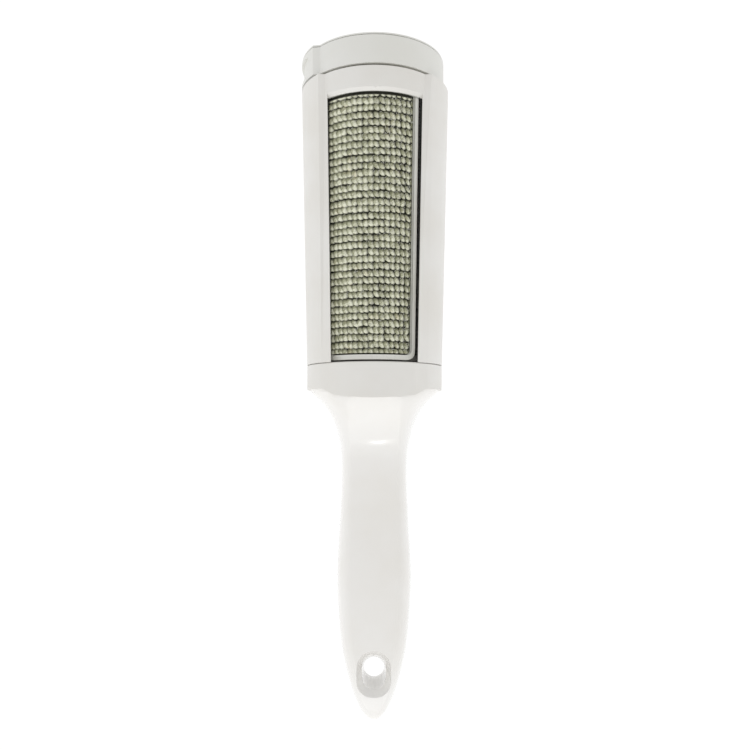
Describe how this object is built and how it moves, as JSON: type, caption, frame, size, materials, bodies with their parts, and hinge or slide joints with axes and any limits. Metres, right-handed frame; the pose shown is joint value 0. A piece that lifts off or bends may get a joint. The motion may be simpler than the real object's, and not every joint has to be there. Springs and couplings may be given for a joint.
{
  "type": "lint roller",
  "caption": "Hand-held self-cleaning lint roller: a turning drum with cloth panels inside a windowed tube, on a hollow handle with a hanging hole.",
  "frame": {"origin": "under the middle of the whole length, on the surface that the back rail rests on", "axes": "+Z out of the window, away from the rest surface; +Y along the head's axis towards the knob; +X to the right seen from the front with the knob up"},
  "size_m": [0.0544, 0.2442, 0.0516],
  "materials": {
    "gloss_white": "glossy moulded plastic",
    "satin_white": "satin moulded plastic with a fine texture",
    "frame_white": "satin moulded plastic",
    "nylon": "natural nylon",
    "steel": "zinc-plated steel",
    "pile_cloth": "directional pile cloth in raised tufts",
    "wiper_cloth": "dark short-pile cloth"
  },
  "bodies": {
    "housing": {"handle_front_shell": "gloss_white", "handle_back_shell": "gloss_white", "handle_screws": "steel", "collar": "satin_white", "lower_bulkhead": "satin_white", "lower_bush": "nylon", "head_housing": "satin_white", "wiper_carrier_left": "satin_white", "wiper_carrier_right": "satin_white", "wiper_strip_left": "wiper_cloth", "wiper_strip_right": "wiper_cloth"},
    "cartridge": {"bearing_ring": "nylon", "detent_spring": "steel"},
    "drum": {"knob_cap": "satin_white", "knob_end_plate": "satin_white", "knob_screw": "steel", "knob_washer": "steel", "drum_core": "satin_white", "drum_lower_disc": "satin_white", "pivot_pin": "steel", "panel_carrier_front": "frame_white", "panel_carrier_rear": "frame_white", "fabric_panel_front": "pile_cloth", "fabric_panel_rear": "pile_cloth"}
  },
  "joints": [
    {"name": "drum_pull", "type": "slide", "parent": "housing", "child": "cartridge", "axis": [0, 1, 0], "range_m": [0, 0.095]},
    {"name": "drum_turn", "type": "hinge", "parent": "cartridge", "child": "drum", "pos_m": [0, 0.1083, 0.0261], "axis": [0, 1, 0], "continuous": true}
  ]
}
